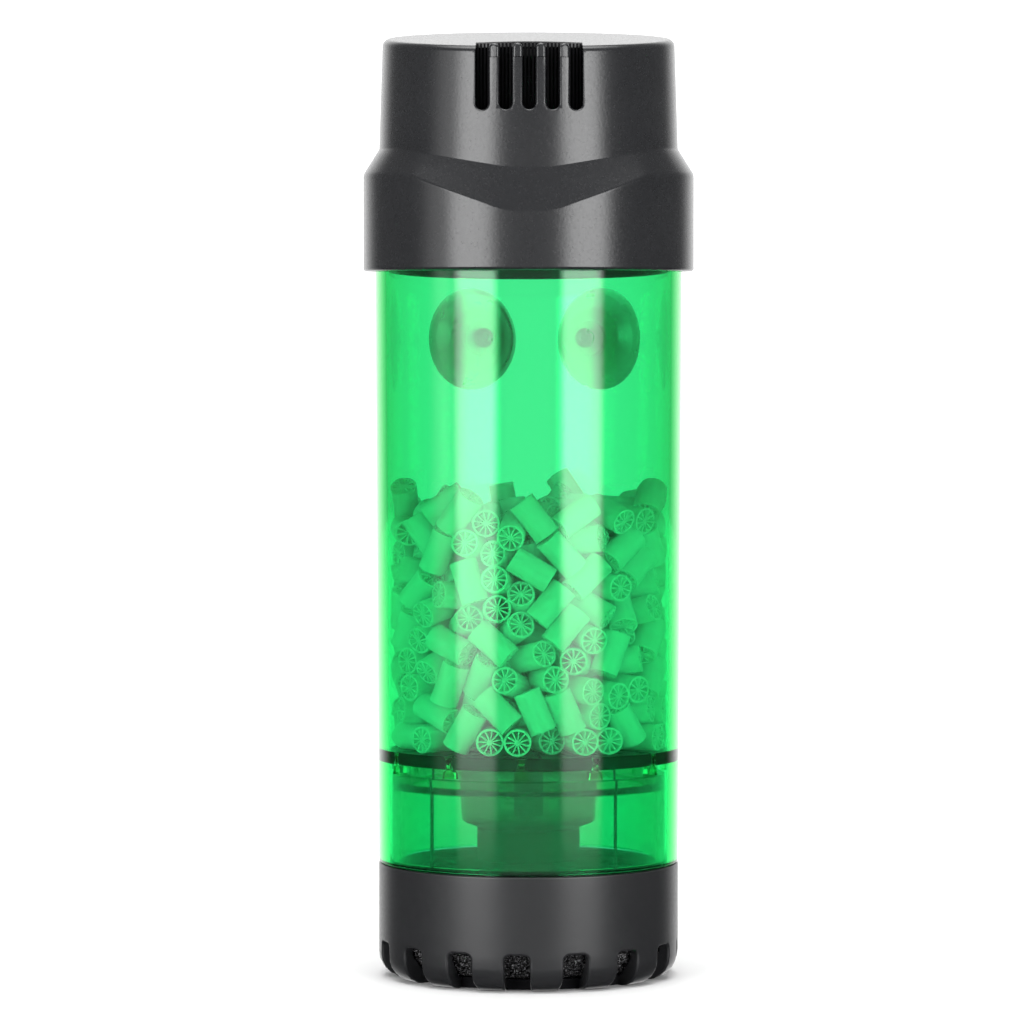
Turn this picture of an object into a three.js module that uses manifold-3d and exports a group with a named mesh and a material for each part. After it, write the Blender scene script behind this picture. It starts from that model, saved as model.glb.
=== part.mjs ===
// Air-driven moving-bed filter for an aquarium, in millimetres, +Z up.
// The origin is the centre of the base's underside; the outlet slots face -Y.
// Angles round the filter are measured from the front (-Y) towards +X, in degrees.

import {
  BoxGeometry,
  BufferAttribute,
  BufferGeometry,
  CurvePath,
  CylinderGeometry,
  ExtrudeGeometry,
  Group,
  LatheGeometry,
  LineCurve3,
  Mesh,
  MeshStandardMaterial,
  Path,
  QuadraticBezierCurve3,
  Shape,
  Vector2,
  Vector3,
} from 'three';
import { mergeVertices } from 'three/addons/utils/BufferGeometryUtils.js';
import Module from 'manifold-3d';

const wasm = await Module();
wasm.setup();

// ---------------------------------------------------------------- driving dimensions

const GAP = 0.3;                  // between neighbouring pieces
const ROUND = 48;                 // facets of a large round piece
const SMALL_ROUND = 16;           // facets of a small round piece
const MIDDLE_ROUND = 24;          // facets of a middling round piece

const BASE_R = 29.7;
const BASE_HEIGHT = 22.4;
const BASE_WALL = 2.0;
const BASE_CORNER = 4.7;          // radius of the bottom corner
const BASE_FLOOR = 2.0;
const BASE_SLOTS = 16;
const BASE_SLOT_WIDTH = 5.2;
const BASE_SLOT_TOP = 7.3;
const BASE_SLOT_TURN = -4.6;      // angle of the first slot
const LEDGE_TOP = 16.6;           // shelf that carries the deck

const TUBE_BOTTOM_R = 29.75;      // outer radius where the tube meets the base
const TUBE_TOP_R = 30.5;          // outer radius where the tube enters the head
const TUBE_WALL = 2.2;
const TUBE_TOP = 147.0;
const TUBE_TURN = -3.0;           // the tube sits turned a little from the head
const SPIGOT_R = 28.4;
const SPIGOT_BOTTOM = 19.1;
const LUG_TOP = 42.3;             // lugs inside the tube carry the divider's rim
const LUG_HEIGHT = 1.6;

const SLEEVE_R = 27.1;            // clear sleeve that lines the lower chamber
const SLEEVE_WALL = 1.6;
const SLEEVE_TOP = 40.3;
const NECK_R = 25.7;              // thicker neck of the sleeve, inside the lugs
const NECK_WALL = 2.2;
const NECK_BOTTOM = 38.2;
const NECK_TOP = 42.3;

const DIVIDER_TOP = 45.0;
const DIVIDER_RIM_BOTTOM = 42.6;
const DIVIDER_R = 27.3;
const DIVIDER_NOTCHES = 12;
const LEG_ANGLES = [-42.7, 42.7, 165];
const LEG_WIDTH = 0.5;
const LEG_DEPTH = 0.6;

const STEM_R = 10.2;
const STEM_TOP = 29.2;
const CUP_R = 13.9;
const CUP_TOP = 42.0;
const AIR_PIPE_R = 2.5;
const AIR_BORE_R = 1.3;
const BARB_Z = 12.0;              // height of the air inlet, at the back
const BARB_END = 41.0;

const MEDIA_R = 27.1;
const MEDIA_TOP = 90.9;
const WHEEL_R = 2.6;
const WHEEL_LENGTH = 8.2;

const SUCKER_R = 10.5;
const SUCKER_FACE = 38.0;         // contact face's distance from the tube's axis
const SUCKER_Z = 127.0;
const SUCKER_SPREAD = 22.5;       // each side of straight back
const SUCKER_HOLE_R = 1.5;

const HEAD_BOTTOM = 138.5;        // the tube's taper ends here, under the head
const HEAD_AXIS_TOP = 185.5;      // height of the slanted top at the axis
const HEAD_TILT = 9.0;            // the top falls towards the front
const SKIRT_R = 32.75;
const SKIRT_BOTTOM = 139.4;       // height of the skirt's lower edge at the sides
const SKIRT_TILT = 2.0;           // that edge falls towards the front
const SKIRT_BORE_R = 30.9;
const SKIRT_LEDGE = 150.3;        // where the skirt's bore ends
const DOME_R = 29.6;              // upper body, just above the shoulder
const DOME_TOP_R = 28.9;
const HEAD_WALL = 2.2;
const TOP_ROUND = 1.6;
const OUTLETS = 5;
const OUTLET_WIDTH = 2.5;
const OUTLET_PITCH = 4.5;
const OUTLET_BOTTOM = 169.0;      // lowest point of the rounded slot end
const SCREEN_R = 25.0;
const SCREEN_WALL = 1.1;
const SCREEN_BOTTOM = 166.0;
const FINGER_RISE = 0.75;         // the bars between the outlets stand above the rim

const deg = Math.PI / 180;
const headSlope = Math.tan(HEAD_TILT * deg);
const skirtSlope = Math.tan(SKIRT_TILT * deg);

// ---------------------------------------------------------------- materials

const material = (color, roughness) => new MeshStandardMaterial({ color, roughness, metalness: 0 });
const blackPlastic = material(0x2c2d2f, 0.42);
const innerPlastic = material(0x1e1f20, 0.5);
const greenPlastic = new MeshStandardMaterial({
  color: 0x19d76a, roughness: 0.08, metalness: 0, transparent: true, opacity: 0.4,
});
const smokePlastic = material(0x39483f, 0.3);
const blackRubber = material(0x191a1b, 0.6);
const clearRubber = material(0x8d9690, 0.35);
const foam = material(0x141516, 0.95);
const stone = material(0x5d605e, 0.9);
const mediaPlastic = material(0xe9efe6, 0.55);

// ---------------------------------------------------------------- solids

// A closed manifold-3d solid from a three.js geometry.
function solidFrom(geometry) {
  const bare = geometry.clone();
  bare.deleteAttribute('normal');
  bare.deleteAttribute('uv');
  const merged = mergeVertices(bare, 1e-4);
  const corners = merged.index.array;
  const kept = [];
  for (let i = 0; i < corners.length; i += 3) {
    const [a, b, c] = [corners[i], corners[i + 1], corners[i + 2]];
    if (a !== b && b !== c && c !== a) {
      kept.push(a, b, c);
    }
  }
  const mesh = new wasm.Mesh({
    numProp: 3,
    vertProperties: new Float32Array(merged.attributes.position.array),
    triVerts: new Uint32Array(kept),
  });
  return new wasm.Manifold(mesh);
}

function geometryFrom(solid) {
  const mesh = solid.getMesh();
  const geometry = new BufferGeometry();
  geometry.setAttribute('position', new BufferAttribute(new Float32Array(mesh.vertProperties), 3));
  geometry.setIndex(new BufferAttribute(new Uint32Array(mesh.triVerts), 1));
  geometry.computeVertexNormals();
  return geometry;
}

// Twice the area inside a profile: positive when it runs anticlockwise.
function turning(profile) {
  let sum = 0;
  profile.forEach(([r, z], i) => {
    const [nextR, nextZ] = profile[(i + 1) % profile.length];
    sum += r * nextZ - nextR * z;
  });
  return sum;
}

// Turns a profile of [radius, height] points about Z. lift(angle, point index) may
// move a point's height as the profile goes round, which gives slanted or wavy edges.
function turned(profile, facets = ROUND, lift = null) {
  const points = profile.map(([r, z], index) => ({ r, z, index }));
  if (turning(profile) < 0) {
    points.reverse();
  }
  if (points[0].r > 0 || points[points.length - 1].r > 0) {
    points.push(points[0]);
  }
  const geometry = new LatheGeometry(points.map(({ r, z }) => new Vector2(r, z)), facets);
  if (lift) {
    const position = geometry.attributes.position;
    for (let i = 0; i < position.count; i += 1) {
      const { r, z, index } = points[i % points.length];
      const angle = 360 * Math.floor(i / points.length) / facets;
      position.setY(i, z + lift(angle > 180 ? angle - 360 : angle, index, r));
    }
  }
  geometry.rotateX(90 * deg);
  return solidFrom(geometry);
}

function ring(innerR, outerR, bottom, top, facets = ROUND) {
  return turned([[innerR, bottom], [outerR, bottom], [outerR, top], [innerR, top]], facets);
}

function disc(radius, bottom, top, facets = ROUND) {
  return turned([[0, bottom], [radius, bottom], [radius, top], [0, top]], facets);
}

function box(sizeX, sizeY, sizeZ, x, y, z) {
  return solidFrom(new BoxGeometry(sizeX, sizeY, sizeZ).translate(x, y, z));
}

// A round bar along Y between two distances from the axis.
function barAlongY(radius, fromY, toY, z, facets = SMALL_ROUND) {
  const bar = new CylinderGeometry(radius, radius, toY - fromY, facets);
  return solidFrom(bar.translate(0, (fromY + toY) / 2, z));
}

// Places a solid that was built at the front (-Y) at an angle round the filter.
function around(solid, angle) {
  return solid.rotate([0, 0, angle]);
}

// Points of an arc in [radius, height], for rounded corners of profiles.
function arc(centreR, centreZ, radius, fromAngle, toAngle, steps) {
  return Array.from({ length: steps + 1 }, (_, i) => {
    const angle = (fromAngle + (toAngle - fromAngle) * i / steps) * deg;
    return [centreR + radius * Math.cos(angle), centreZ + radius * Math.sin(angle)];
  });
}

// Straight-line interpolation through [x, value] pairs.
function through(pairs, x) {
  const last = pairs.length - 1;
  if (x >= pairs[last][0]) {
    return pairs[last][1];
  }
  const i = Math.max(1, pairs.findIndex(([at]) => at > x));
  const [x0, v0] = pairs[i - 1];
  const [x1, v1] = pairs[i];
  return v0 + (v1 - v0) * Math.max(0, x - x0) / (x1 - x0);
}

function add(parent, name, solid, look) {
  const mesh = new Mesh(geometryFrom(solid), look);
  mesh.name = name;
  parent.add(mesh);
  return mesh;
}

// ---------------------------------------------------------------- base

// One slot's cutter: a bar with rounded top corners, pointing outwards at the front.
function baseSlotCutter() {
  const half = BASE_SLOT_WIDTH / 2;
  const corner = 1.0;
  const outline = new Shape();
  outline.moveTo(-half, -1);
  outline.lineTo(half, -1);
  outline.lineTo(half, BASE_SLOT_TOP - corner);
  outline.absarc(half - corner, BASE_SLOT_TOP - corner, corner, 0, 90 * deg, false);
  outline.absarc(-half + corner, BASE_SLOT_TOP - corner, corner, 90 * deg, 180 * deg, false);
  const slotInnerR = BASE_R - BASE_CORNER - 1.2;
  const bar = new ExtrudeGeometry(outline, { depth: 8, bevelEnabled: false, curveSegments: 1 });
  bar.rotateX(90 * deg);
  bar.translate(0, -slotInnerR, 0);
  return solidFrom(bar);
}

function baseShell() {
  const innerR = BASE_R - BASE_WALL;
  const lapR = SPIGOT_R + GAP;
  const profile = [
    [0, 0],
    ...arc(BASE_R - BASE_CORNER, BASE_CORNER, BASE_CORNER, -90, 0, 3),
    [BASE_R, BASE_HEIGHT],
    [lapR, BASE_HEIGHT],
    [lapR, LEDGE_TOP + 0.4],
    [innerR, LEDGE_TOP + 0.4],
    [innerR, LEDGE_TOP],
    [innerR - BASE_WALL, LEDGE_TOP],
    [innerR - BASE_WALL, LEDGE_TOP - 1.4],
    [innerR, LEDGE_TOP - 2.4],
    [innerR, BASE_CORNER + 0.8],
    [innerR - BASE_CORNER + BASE_WALL, BASE_FLOOR],
    [0, BASE_FLOOR],
  ];
  let shell = turned(profile);
  const cutter = baseSlotCutter();
  for (let i = 0; i < BASE_SLOTS; i += 1) {
    shell = shell.subtract(around(cutter, BASE_SLOT_TURN + 360 * i / BASE_SLOTS));
  }
  shell = shell.subtract(barAlongY(3.6, innerR - 1, BASE_R + 1, BARB_Z));
  return shell.subtract(barAlongY(4.4, 20, innerR - GAP, BARB_Z));
}

function intakeSponge() {
  const outerR = BASE_R - BASE_WALL - GAP;
  const bottom = BASE_FLOOR + GAP;
  const top = BARB_Z - AIR_PIPE_R - 0.5;
  const profile = [[0, bottom], [24.0, bottom], [outerR, 6.2], [outerR, top], [0, top]];
  return turned(profile).subtract(barAlongY(4.6, 25, outerR + 1, BARB_Z));
}

// Plate on a short skirt, with a hole for the air pipe and a ring of flow holes.
function baseDeck() {
  const outerR = 27.0;
  const skirtWall = 1.6;
  const top = BASE_HEIGHT + GAP;
  const plateBottom = top - 2.0;
  const profile = [
    [AIR_PIPE_R + 0.4, plateBottom],
    [outerR - skirtWall, plateBottom],
    [outerR - skirtWall, LEDGE_TOP + GAP],
    [outerR, LEDGE_TOP + GAP],
    [outerR, top],
    [AIR_PIPE_R + 0.4, top],
  ];
  let deck = turned(profile);
  const flowHoles = 8;
  const holeDistance = 18.5;
  const hole = new CylinderGeometry(3.2, 3.2, 6, 10).rotateX(90 * deg).translate(0, -holeDistance, top);
  const cutter = solidFrom(hole);
  for (let i = 0; i < flowHoles; i += 1) {
    deck = deck.subtract(around(cutter, 360 * (i + 0.5) / flowHoles));
  }
  return deck;
}

// ---------------------------------------------------------------- air supply

function airBarb() {
  const stubR = 2.2;
  const profile = [
    [1.2, 24.6],
    [stubR, 24.6],
    [stubR, 31.3],
    [3.6, 31.3],
    [3.6, 32.6],
    [stubR, 32.6],
    [stubR, 34.4],
    [2.9, 34.4],
    [stubR, 37.2],
    [2.9, 37.2],
    [stubR, 40.2],
    [stubR, BARB_END],
    [1.2, BARB_END],
  ];
  return turned(profile, SMALL_ROUND).rotate([-90, 0, 0]).translate([0, 0, BARB_Z]);
}

function barbGrommet() {
  const innerFace = BASE_R - BASE_WALL - GAP;
  const outerFace = BASE_R + 0.1;
  const profile = [
    [2.5, innerFace - 1.0],
    [4.0, innerFace - 1.0],
    [4.0, innerFace - 0.3],
    [3.3, innerFace - 0.3],
    [3.3, outerFace],
    [4.0, outerFace],
    [4.0, outerFace + 1.0],
    [2.5, outerFace + 1.0],
  ];
  return turned(profile, SMALL_ROUND).rotate([-90, 0, 0]).translate([0, 0, BARB_Z]);
}

// Pipe from the barb to the centre, then up through the deck to the air stone.
function airPipe() {
  const section = new Shape();
  section.absarc(0, 0, AIR_PIPE_R, 0, 360 * deg, false);
  const bore = new Path();
  bore.absarc(0, 0, AIR_BORE_R, 0, 360 * deg, true);
  section.holes.push(bore);
  const bendStart = new Vector3(0, 6, BARB_Z);
  const bendEnd = new Vector3(0, 0, BARB_Z + 6);
  const route = new CurvePath();
  route.add(new LineCurve3(new Vector3(0, 24.3, BARB_Z), bendStart));
  route.add(new QuadraticBezierCurve3(bendStart, new Vector3(0, 0, BARB_Z), bendEnd));
  route.add(new LineCurve3(bendEnd, new Vector3(0, 0, 31.2)));
  const pipe = new ExtrudeGeometry(section, { steps: 16, curveSegments: 4, extrudePath: route });
  return solidFrom(pipe);
}

function diffuserStem() {
  const bottom = BASE_HEIGHT + 2 * GAP;
  const profile = [
    [STEM_R - 1.4, bottom],
    [STEM_R, bottom],
    [STEM_R, STEM_TOP],
    [AIR_PIPE_R + 0.4, STEM_TOP],
    [AIR_PIPE_R + 0.4, STEM_TOP - 1.4],
    [STEM_R - 1.4, STEM_TOP - 1.4],
  ];
  return turned(profile, MIDDLE_ROUND);
}

function diffuserCup() {
  const bottom = STEM_TOP + GAP;
  const wall = 1.2;
  const profile = [
    [AIR_PIPE_R + 0.4, bottom],
    [CUP_R - 3.2, bottom],
    [CUP_R - 0.8, bottom + 0.8],
    [CUP_R - 0.4, bottom + 1.6],
    [CUP_R, CUP_TOP],
    [CUP_R - wall, CUP_TOP],
    [CUP_R - wall - 0.4, bottom + 1.8],
    [CUP_R - wall - 1.0, bottom + wall],
    [AIR_PIPE_R + 0.4, bottom + wall],
  ];
  return turned(profile, MIDDLE_ROUND);
}

function airStone() {
  const bottom = 31.5;
  const top = 41.2;
  const profile = [[0, bottom], [2.5, bottom], [2.9, bottom + 0.5], [2.9, top - 0.6], [2.2, top], [0, top]];
  return turned(profile, SMALL_ROUND);
}

// ---------------------------------------------------------------- tube and what it holds

function tubeOuterR(z) {
  return TUBE_BOTTOM_R + (TUBE_TOP_R - TUBE_BOTTOM_R) * (z - BASE_HEIGHT) / (HEAD_BOTTOM - BASE_HEIGHT);
}

function tubeShell() {
  const shoulder = BASE_HEIGHT + GAP;
  const profile = [
    [tubeOuterR(shoulder) - TUBE_WALL, SPIGOT_BOTTOM],
    [SPIGOT_R, SPIGOT_BOTTOM],
    [SPIGOT_R, shoulder],
    [tubeOuterR(shoulder), shoulder],
    [TUBE_TOP_R, HEAD_BOTTOM],
    [TUBE_TOP_R, TUBE_TOP],
    [TUBE_TOP_R - TUBE_WALL, TUBE_TOP],
    [TUBE_TOP_R - TUBE_WALL, HEAD_BOTTOM],
    [tubeOuterR(shoulder) - TUBE_WALL, shoulder],
  ];
  let shell = turned(profile);
  const hole = barAlongY(SUCKER_HOLE_R, 25, 34, SUCKER_Z, MIDDLE_ROUND);
  for (const side of [-1, 1]) {
    shell = shell.subtract(around(hole, side * SUCKER_SPREAD));
  }
  const depth = 1.5;
  const middle = -(tubeOuterR(LUG_TOP) - TUBE_WALL) + depth / 2 - 0.2;
  const lug = box(2.6, depth, LUG_HEIGHT, 0, middle, LUG_TOP - LUG_HEIGHT / 2);
  const keyHeight = DIVIDER_TOP - LUG_TOP;
  const key = box(0.8, depth - 0.2, keyHeight, 0, middle - 0.1, LUG_TOP + keyHeight / 2 - 0.2);
  const lugAndKey = lug.add(key);
  for (let i = 0; i < DIVIDER_NOTCHES; i += 1) {
    shell = shell.add(around(lugAndKey, 360 * i / DIVIDER_NOTCHES));
  }
  return shell;
}

// A leg of the divider, at the front; grown by a clearance it cuts the sleeve's neck.
function dividerLeg(bottom, top, clearance = 0) {
  const middle = -(SLEEVE_R - SLEEVE_WALL - GAP) + LEG_DEPTH / 2;
  const depth = clearance ? 8 : LEG_DEPTH;
  return box(LEG_WIDTH + 2 * clearance, depth, top - bottom, 0, middle, (bottom + top) / 2);
}

// Sleeve with a thicker neck at the top, which stops the view into the plate's underside.
function chamberSleeve() {
  const outline = [
    [SLEEVE_R - SLEEVE_WALL, BASE_HEIGHT + 3 * GAP],
    [SLEEVE_R, BASE_HEIGHT + 3 * GAP],
    [SLEEVE_R, SLEEVE_TOP],
    [NECK_R, SLEEVE_TOP],
    [NECK_R, NECK_TOP],
    [NECK_R - NECK_WALL, NECK_TOP],
    [NECK_R - NECK_WALL, NECK_BOTTOM],
    [SLEEVE_R - SLEEVE_WALL, NECK_BOTTOM - 0.6],
  ];
  let sleeve = turned(outline);
  const slot = dividerLeg(NECK_BOTTOM - 2, NECK_TOP + 1, GAP);
  for (const angle of LEG_ANGLES) {
    sleeve = sleeve.subtract(around(slot, angle));
  }
  return sleeve;
}

// Plate with flow slots and a notched rim that bears on the tube's lugs; slim legs below.
function dividerPlate() {
  const plateBottom = DIVIDER_TOP - 1.2;
  const outline = new Shape();
  outline.absarc(0, 0, DIVIDER_R - 0.6, 0, 360 * deg, false);
  const slots = 24;
  const slotHalfWidth = 0.7;
  for (let i = 0; i < slots; i += 1) {
    const angle = 360 * (i + 0.5) / slots * deg;
    const innerEnd = i % 2 ? 9 : 14;
    const alongX = Math.cos(angle);
    const alongY = Math.sin(angle);
    const slot = new Path();
    const corner = (r, side) => [r * alongX - side * alongY, r * alongY + side * alongX];
    slot.moveTo(...corner(innerEnd, -slotHalfWidth));
    slot.lineTo(...corner(innerEnd, slotHalfWidth));
    slot.lineTo(...corner(23.5, slotHalfWidth));
    slot.lineTo(...corner(23.5, -slotHalfWidth));
    slot.closePath();
    outline.holes.push(slot);
  }
  const plate = new ExtrudeGeometry(outline, { depth: 1.2, bevelEnabled: false, curveSegments: 16 });
  plate.translate(0, 0, plateBottom);
  let divider = solidFrom(plate).add(ring(DIVIDER_R - 1.4, DIVIDER_R, DIVIDER_RIM_BOTTOM, DIVIDER_TOP));
  for (let i = 0; i < DIVIDER_NOTCHES; i += 1) {
    const angle = 360 * i / DIVIDER_NOTCHES;
    const notch = box(1.6, 4.2, 4, 0, -DIVIDER_R + 0.7, DIVIDER_TOP - 1);
    divider = divider.subtract(around(notch, angle));
  }
  const leg = dividerLeg(BASE_HEIGHT + 2 * GAP, plateBottom + 0.5);
  for (const angle of LEG_ANGLES) {
    divider = divider.add(around(leg, angle));
  }
  return divider;
}

function mediaBed() {
  return disc(MEDIA_R, DIVIDER_TOP + GAP, MEDIA_TOP, 32);
}

// One media wheel lying on its side: a rim, a hub and four spokes, open end to end.
function mediaWheel() {
  const outline = new Shape();
  outline.absarc(0, 0, WHEEL_R, 0, 360 * deg, false);
  const spokes = 4;
  const boreR = WHEEL_R - 0.4;
  for (let i = 0; i < spokes; i += 1) {
    const middle = 360 / spokes * (i + 0.5);
    const corner = (r, angle) => [r * Math.cos(angle * deg), r * Math.sin(angle * deg)];
    const cell = new Path();
    cell.moveTo(...corner(0.7, middle));
    cell.lineTo(...corner(boreR, middle - 35));
    cell.lineTo(...corner(boreR, middle));
    cell.lineTo(...corner(boreR, middle + 35));
    cell.closePath();
    outline.holes.push(cell);
  }
  const depth = WHEEL_LENGTH;
  const wheel = new ExtrudeGeometry(outline, { depth, bevelEnabled: false, curveSegments: 6 });
  wheel.translate(0, 0, -WHEEL_LENGTH / 2);
  wheel.rotateX(90 * deg);
  return solidFrom(wheel);
}

// Suction cup, turned about its own axis: stud and neck through the tube wall, then the bell.
function suctionCup() {
  const wallInner = tubeOuterR(SUCKER_Z) - TUBE_WALL;
  const wallOuter = tubeOuterR(SUCKER_Z);
  const neckR = SUCKER_HOLE_R - 0.35;
  const profile = [
    [0, wallInner - 1.6],
    [1.2, wallInner - 1.6],
    [2.0, wallInner - 0.9],
    [2.0, wallInner - 0.5],
    [neckR, wallInner - 0.5],
    [neckR, wallOuter + 0.3],
    [3.6, wallOuter + 0.3],
    [3.6, wallOuter + 1.5],
    [6.0, wallOuter + 2.6],
    [9.0, wallOuter + 5.0],
    [SUCKER_R, SUCKER_FACE - 0.6],
    [SUCKER_R, SUCKER_FACE],
    [SUCKER_R - 1.2, SUCKER_FACE],
    [8.2, SUCKER_FACE - 1.4],
    [5.0, SUCKER_FACE - 3.2],
    [0, SUCKER_FACE - 3.9],
  ];
  return turned(profile, MIDDLE_ROUND).rotate([-90, 0, 0]).translate([0, 0, SUCKER_Z]);
}

// ---------------------------------------------------------------- head

// Height added to a point of radius r at an angle, so that it lies on the slanted top.
function topSlant(angle, r) {
  return -r * Math.cos(angle * deg) * headSlope;
}

// The shoulder's two edges dip at the front into a chevron: [angle, height] of each kink.
function shoulderTop(angle) {
  const edge = [[0, 158.1], [7.5, 158.1], [60, 162.7], [90, 163.6]];
  return through(edge, Math.abs(angle));
}

function shoulderBottom(angle) {
  const edge = [[0, 149.5], [7.5, 149.5], [45, 156.9], [90, 158.6]];
  return through(edge, Math.abs(angle));
}

function headBody() {
  const rounding = arc(DOME_TOP_R - TOP_ROUND, HEAD_AXIS_TOP - TOP_ROUND, TOP_ROUND, 0, 90, 3);
  const backBottom = shoulderBottom(180);
  const backTop = shoulderTop(180);
  const profile = [
    [0, SKIRT_BOTTOM],
    [SKIRT_R - 0.3, SKIRT_BOTTOM],
    [SKIRT_R, SKIRT_BOTTOM + 0.4],
    [SKIRT_R, backBottom - 0.4],
    [SKIRT_R - 0.25, backBottom + 0.3],
    [DOME_R, backTop],
    ...rounding,
    [0, HEAD_AXIS_TOP],
  ];
  return turned(profile, ROUND, (angle, index, r) => {
    if (index <= 2) {
      return -r * Math.cos(angle * deg) * skirtSlope;
    }
    if (index <= 4) {
      return shoulderBottom(angle) - backBottom;
    }
    if (index === 5) {
      return shoulderTop(angle) - backTop;
    }
    return topSlant(angle, r);
  });
}

function headCavity() {
  const boreR = DOME_TOP_R - HEAD_WALL + 0.4;
  const roof = HEAD_AXIS_TOP - HEAD_WALL;
  const slanted = new Set([4, 5]);
  const profile = [
    [0, SKIRT_BOTTOM - 3],
    [SKIRT_BORE_R, SKIRT_BOTTOM - 3],
    [SKIRT_BORE_R, SKIRT_LEDGE],
    [boreR, SKIRT_LEDGE],
    [boreR - 0.4, roof - 0.8],
    [boreR - 1.2, roof],
    [0, roof],
  ];
  return turned(profile, ROUND, (angle, index, r) => (slanted.has(index) ? topSlant(angle, r) : 0));
}

function outletCutter() {
  const half = OUTLET_WIDTH / 2;
  const outline = new Shape();
  outline.moveTo(-half, OUTLET_BOTTOM + half);
  outline.absarc(0, OUTLET_BOTTOM + half, half, 180 * deg, 360 * deg, false);
  outline.lineTo(half, HEAD_AXIS_TOP + 8);
  outline.lineTo(-half, HEAD_AXIS_TOP + 8);
  const bar = new ExtrudeGeometry(outline, { depth: 9, bevelEnabled: false, curveSegments: 4 });
  bar.rotateX(90 * deg);
  bar.translate(0, -23.5, 0);
  return solidFrom(bar);
}

// The roof stops behind the screen, so that the outlets are open at the top; the bars
// between them go on up as free fingers.
function headShell() {
  const rim = HEAD_AXIS_TOP - DOME_TOP_R * headSlope;
  const windowBottom = rim - 2.0;
  const windowWidth = (OUTLETS - 1) * OUTLET_PITCH + OUTLET_WIDTH;
  const behindScreen = disc(SCREEN_R - SCREEN_WALL - GAP, windowBottom - 1, rim + 8);
  const window = box(windowWidth, 12, 8, 0, -27, windowBottom + 4).subtract(behindScreen);
  let shell = headBody().subtract(headCavity()).subtract(window);
  const cutter = outletCutter();
  for (let i = 0; i < OUTLETS; i += 1) {
    shell = shell.subtract(cutter.translate([(i - (OUTLETS - 1) / 2) * OUTLET_PITCH, 0, 0]));
  }
  const depth = 2.0;
  const height = FINGER_RISE + 3.0;
  for (let i = 0; i < OUTLETS - 1; i += 1) {
    const x = (i - (OUTLETS - 2) / 2) * OUTLET_PITCH;
    const front = -Math.sqrt(DOME_TOP_R ** 2 - x ** 2) + 0.15;
    const width = OUTLET_PITCH - OUTLET_WIDTH;
    shell = shell.add(box(width, depth, height, x, front + depth / 2, rim + FINGER_RISE - height / 2));
  }
  return shell;
}

// A flat piece of ring at the front, between two heights.
function frontArc(innerR, outerR, reach, bottom, top) {
  const outline = new Shape();
  outline.absarc(0, 0, outerR, (-90 - reach) * deg, (-90 + reach) * deg, false);
  outline.absarc(0, 0, innerR, (-90 + reach) * deg, (-90 - reach) * deg, true);
  const bar = new ExtrudeGeometry(outline, { depth: top - bottom, bevelEnabled: false, curveSegments: 10 });
  return solidFrom(bar.translate(0, 0, bottom));
}

// Comb behind the outlets that keeps the media in: two curved rails joined by ribs.
function outletScreen() {
  const innerR = SCREEN_R - SCREEN_WALL;
  const top = HEAD_AXIS_TOP - SCREEN_R * headSlope + FINGER_RISE;
  const lowerRail = 1.2;
  const upperRail = 1.0;
  const reach = 24.3;
  let screen = frontArc(innerR, SCREEN_R, reach, SCREEN_BOTTOM, SCREEN_BOTTOM + lowerRail);
  screen = screen.add(frontArc(innerR, SCREEN_R, reach, top - upperRail, top));
  const ribs = 15;
  const ribReach = reach - 1.2;
  const height = top - SCREEN_BOTTOM - lowerRail;
  const rib = box(0.8, 0.8, height, 0, -(innerR + SCREEN_R) / 2, (top + SCREEN_BOTTOM) / 2);
  for (let i = 0; i < ribs; i += 1) {
    screen = screen.add(around(rib, ribReach * (2 * i / (ribs - 1) - 1)));
  }
  return screen;
}

// Liner that plugs into the tube and hangs from a flange on the tube's end.
function headCollar() {
  const innerR = 26.4;
  const bottom = HEAD_BOTTOM + 0.55;
  const flangeBottom = SKIRT_LEDGE - GAP - 1.4;
  const profile = [
    [innerR, bottom],
    [27.95, bottom],
    [27.95, flangeBottom],
    [30.5, flangeBottom],
    [30.5, flangeBottom + 1.4],
    [innerR, flangeBottom + 1.4],
  ];
  return turned(profile);
}

// ---------------------------------------------------------------- assembly

const filter = new Group();

const base = new Group();
filter.add(base);
add(base, 'base_shell', baseShell(), blackPlastic);
add(base, 'intake_sponge', intakeSponge(), foam);
add(base, 'base_deck', baseDeck(), innerPlastic);
add(base, 'air_barb', airBarb(), blackPlastic);
add(base, 'barb_grommet', barbGrommet(), blackRubber);
add(base, 'air_pipe', airPipe(), innerPlastic);
add(base, 'diffuser_stem', diffuserStem(), innerPlastic);
add(base, 'diffuser_cup', diffuserCup(), smokePlastic);
add(base, 'air_stone', airStone(), stone);
add(base, 'base_gasket', ring(27.5, 28.5, LEDGE_TOP + 0.7, SPIGOT_BOTTOM - GAP, 36), blackRubber);

const column = new Group();
column.rotation.z = TUBE_TURN * deg;
filter.add(column);
add(column, 'tube', tubeShell(), greenPlastic);
add(column, 'divider_plate', dividerPlate(), innerPlastic);
add(column, 'chamber_sleeve', chamberSleeve(), smokePlastic);
add(column, 'media_bed', mediaBed(), mediaPlastic);

const wheel = mediaWheel();
const outerWheels = 7;
const innerWheels = 3;
for (let i = 0; i < outerWheels + innerWheels; i += 1) {
  const outer = i < outerWheels;
  const angle = (outer ? 360 * i / outerWheels : 360 * (i - outerWheels) / innerWheels + 20) * deg;
  const distance = outer ? 19 : 7;
  const mesh = add(column, `media_wheel_${String(i + 1).padStart(2, '0')}`, wheel, mediaPlastic);
  mesh.position.set(distance * Math.sin(angle), -distance * Math.cos(angle), MEDIA_TOP + GAP + WHEEL_R);
  mesh.rotation.z = 2.4 * i;
}

const suckers = { suction_cup_left: SUCKER_SPREAD, suction_cup_right: -SUCKER_SPREAD };
for (const [name, angle] of Object.entries(suckers)) {
  add(column, name, suctionCup(), clearRubber).rotation.z = angle * deg;
}

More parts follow.
